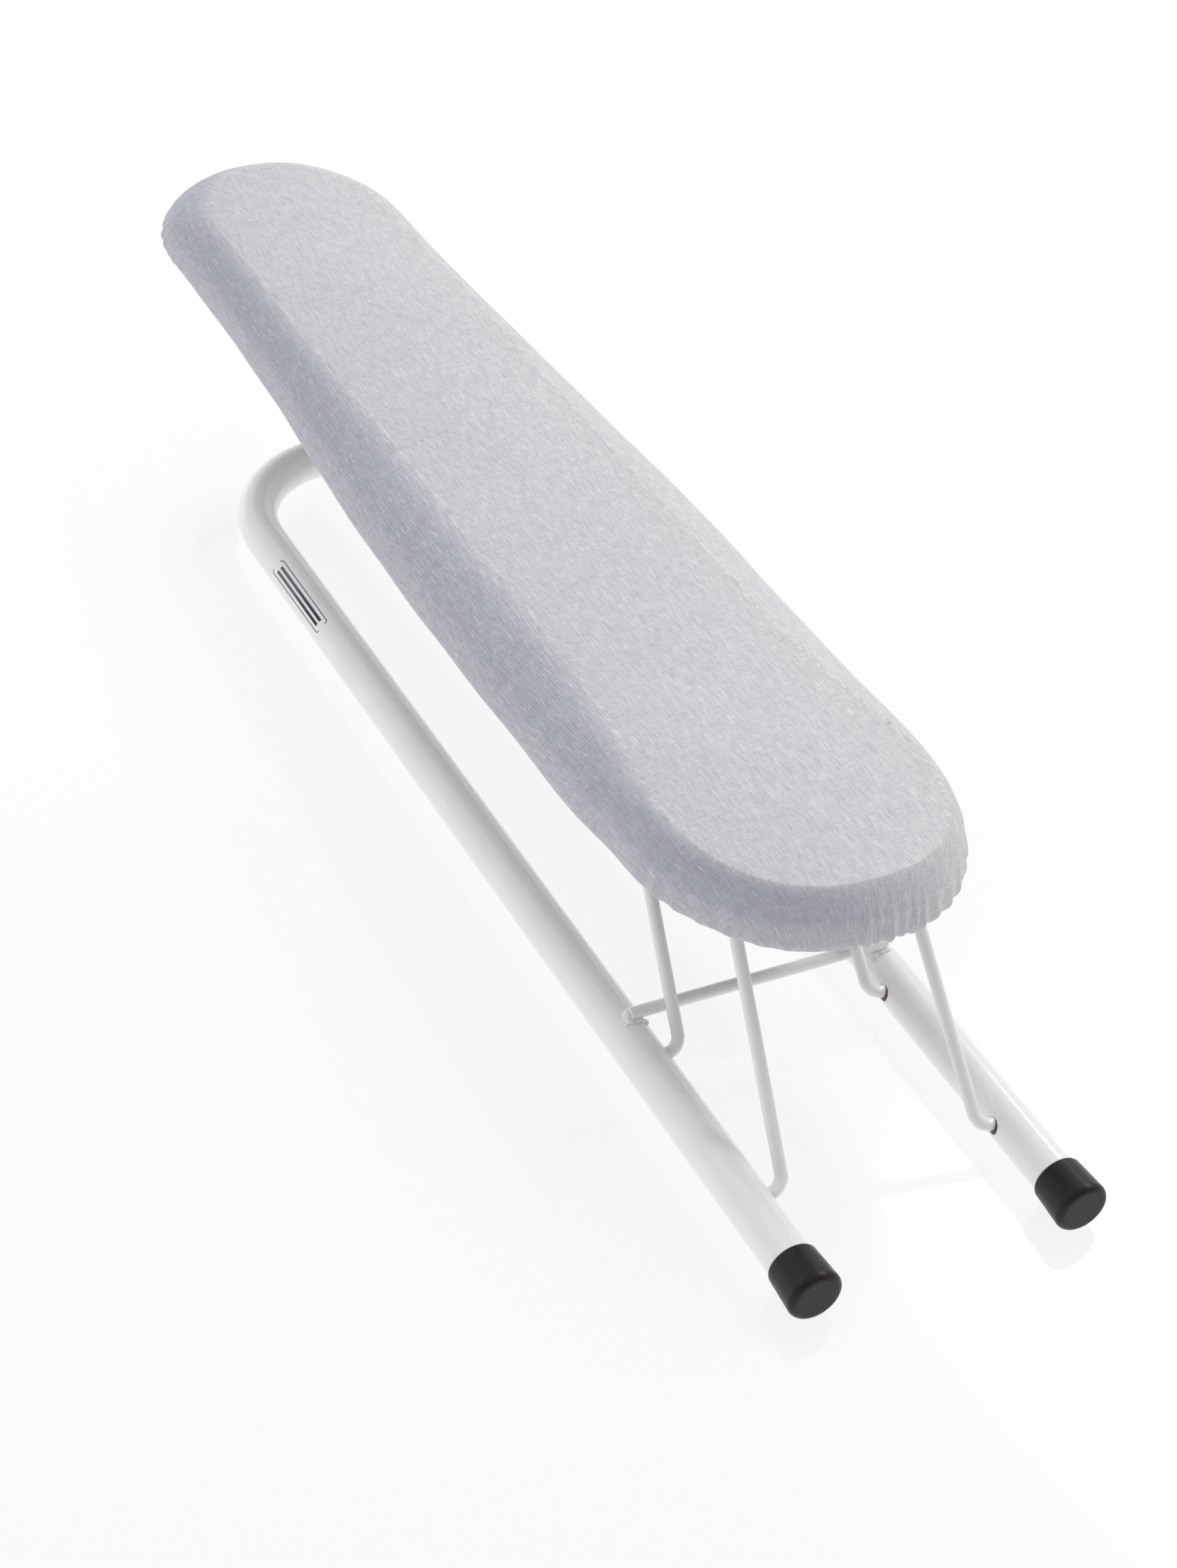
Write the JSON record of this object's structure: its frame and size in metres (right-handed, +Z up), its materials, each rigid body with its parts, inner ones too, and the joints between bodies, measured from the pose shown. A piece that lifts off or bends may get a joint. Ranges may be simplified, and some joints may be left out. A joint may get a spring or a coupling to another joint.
{
  "type": "folding sleeve ironing board",
  "caption": "Table-top sleeve ironing board: padded cloth-covered board on two folding wire bows that stand in a U-shaped white tube base with black end caps.",
  "frame": {"origin": "centre of the object's box in plan, on the surface it stands on", "axes": "+X along the length, from the narrow nose towards the capped ends of the base; +Y across the board; +Z up"},
  "size_m": [0.5941, 0.125, 0.1063],
  "materials": {
    "white_tube": "glossy white powder coat on steel tube",
    "white_wire": "glossy white powder coat on steel wire",
    "white_weld": "weld beads under the same white powder coat",
    "black_cap": "satin black moulded rubber",
    "sheet_steel": "plain galvanised sheet steel",
    "bracket_steel": "pressed galvanised steel",
    "rivet_steel": "steel rivet heads, slightly dulled",
    "pad_foam": "soft open-cell foam pad",
    "cover_cloth": "blue-grey melange cotton with pale slubs along the length",
    "elastic_tape": "woven elastic tape"
  },
  "bodies": {
    "base": {"base_tube": "white_tube", "left_end_cap": "black_cap", "right_end_cap": "black_cap", "crossbar": "white_wire", "crossbar_welds": "white_weld"},
    "rear_bow": {"rear_bow": "white_wire"},
    "front_bow": {"front_bow": "white_wire"},
    "board": {"board_plate": "sheet_steel", "plate_rib": "sheet_steel", "bow_bracket": "bracket_steel", "bracket_rivets": "rivet_steel", "foam_pad": "pad_foam", "cover": "cover_cloth", "front_elastic": "elastic_tape", "nose_elastic": "elastic_tape"}
  },
  "joints": [
    {"name": "rear_bow_fold", "type": "hinge", "parent": "base", "child": "rear_bow", "pos_m": [0.18349, 0, 0.01077], "axis": [0, 1, 0], "range_deg": [0, 118]},
    {"name": "front_bow_fold", "type": "hinge", "parent": "base", "child": "front_bow", "pos_m": [0.25299, 0, 0.01101], "axis": [0, 1, 0], "range_deg": [0, 118]},
    {"name": "board_swing", "type": "hinge", "parent": "rear_bow", "child": "board", "pos_m": [0.11072, 0, 0.09189], "axis": [0, 1, 0], "range_deg": [-118, 0]}
  ],
  "couplings": [
    {"joint": "front_bow_fold", "follows": "rear_bow_fold", "ratio": 1},
    {"joint": "board_swing", "follows": "rear_bow_fold", "ratio": -1}
  ]
}
